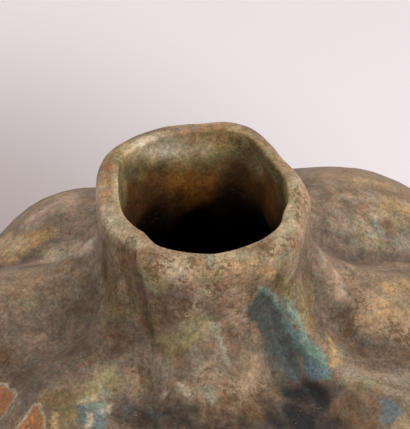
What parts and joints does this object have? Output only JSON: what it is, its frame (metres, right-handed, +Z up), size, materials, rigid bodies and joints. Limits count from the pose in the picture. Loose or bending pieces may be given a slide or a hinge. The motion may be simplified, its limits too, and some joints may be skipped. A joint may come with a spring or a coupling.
{
  "type": "gourd vase",
  "caption": "Round ribbed gourd-shaped stoneware vase with a short, softly squared neck and a ring foot, for holding flowers.",
  "frame": {"origin": "middle of the vase's foot, on the plane that it stands on", "axes": "+Z up through the mouth; -Y towards the side that is pictured; +X to the right of that view"},
  "size_m": [0.2126, 0.2094, 0.2001],
  "materials": {
    "matt_glaze": "matt to satin mottled brown glaze with olive, ochre and blue-green runs",
    "bare_stoneware": "unglazed fired clay, rough"
  },
  "bodies": {
    "root": {"foot_ring": "bare_stoneware", "base_slab": "matt_glaze", "lower_bowl": "matt_glaze", "shoulder_shell": "matt_glaze", "neck_collar": "matt_glaze"}
  },
  "joints": []
}
